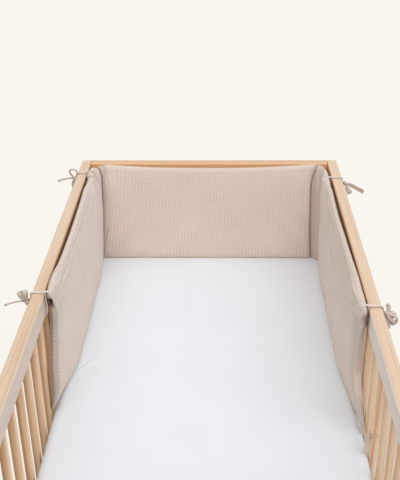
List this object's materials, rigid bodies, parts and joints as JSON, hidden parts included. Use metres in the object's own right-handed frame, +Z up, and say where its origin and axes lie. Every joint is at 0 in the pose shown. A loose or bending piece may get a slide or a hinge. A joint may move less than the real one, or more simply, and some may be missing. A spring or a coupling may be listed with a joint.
{
  "type": "padded crib bumper tied round the head end of a wooden cot with its mattress",
  "caption": "Padded waffle-cloth bumper that lines the head end of a slatted wooden cot, tied to its rails with ribbons above a mattress in a plain fitted sheet.",
  "frame": {"origin": "on the floor under the middle of the cot", "axes": "+Y along the cot towards its head end, +X across it towards the right as seen from the foot end, +Z up"},
  "size_m": [0.7534, 1.25, 0.8671],
  "materials": {
    "waffle": "beige cotton waffle weave, quilted over soft filling",
    "sheet": "white cotton fitted sheet, smooth plain weave",
    "wood": "light natural wood, oiled, fine straight grain",
    "board": "plain pale plywood panel"
  },
  "bodies": {
    "root": {"bumper": "waffle", "mattress": "sheet", "mattress_base": "board", "head_grille": "wood", "foot_grille": "wood", "top_rail_left": "wood", "top_rail_right": "wood", "low_rail_left": "wood", "low_rail_right": "wood", "leg_head_left": "wood", "leg_head_right": "wood", "leg_foot_left": "wood", "leg_foot_right": "wood", "bar_left_01": "wood", "bar_left_02": "wood", "bar_left_03": "wood", "bar_left_04": "wood", "bar_left_05": "wood", "bar_left_06": "wood", "bar_left_07": "wood", "bar_left_08": "wood", "bar_left_09": "wood", "bar_left_10": "wood", "bar_left_11": "wood", "bar_left_12": "wood", "bar_left_13": "wood", "bar_left_14": "wood", "bar_left_15": "wood", "bar_left_16": "wood", "bar_left_17": "wood", "bar_left_18": "wood", "bar_left_19": "wood", "bar_right_01": "wood", "bar_right_02": "wood", "bar_right_03": "wood", "bar_right_04": "wood", "bar_right_05": "wood", "bar_right_06": "wood", "bar_right_07": "wood", "bar_right_08": "wood", "bar_right_09": "wood", "bar_right_10": "wood", "bar_right_11": "wood", "bar_right_12": "wood", "bar_right_13": "wood", "bar_right_14": "wood", "bar_right_15": "wood", "bar_right_16": "wood", "bar_right_17": "wood", "bar_right_18": "wood", "bar_right_19": "wood", "tie_head_left": "waffle", "tie_foot_left": "waffle", "tie_head_right": "waffle", "tie_foot_right": "waffle", "tie_low_right": "waffle"}
  },
  "joints": []
}
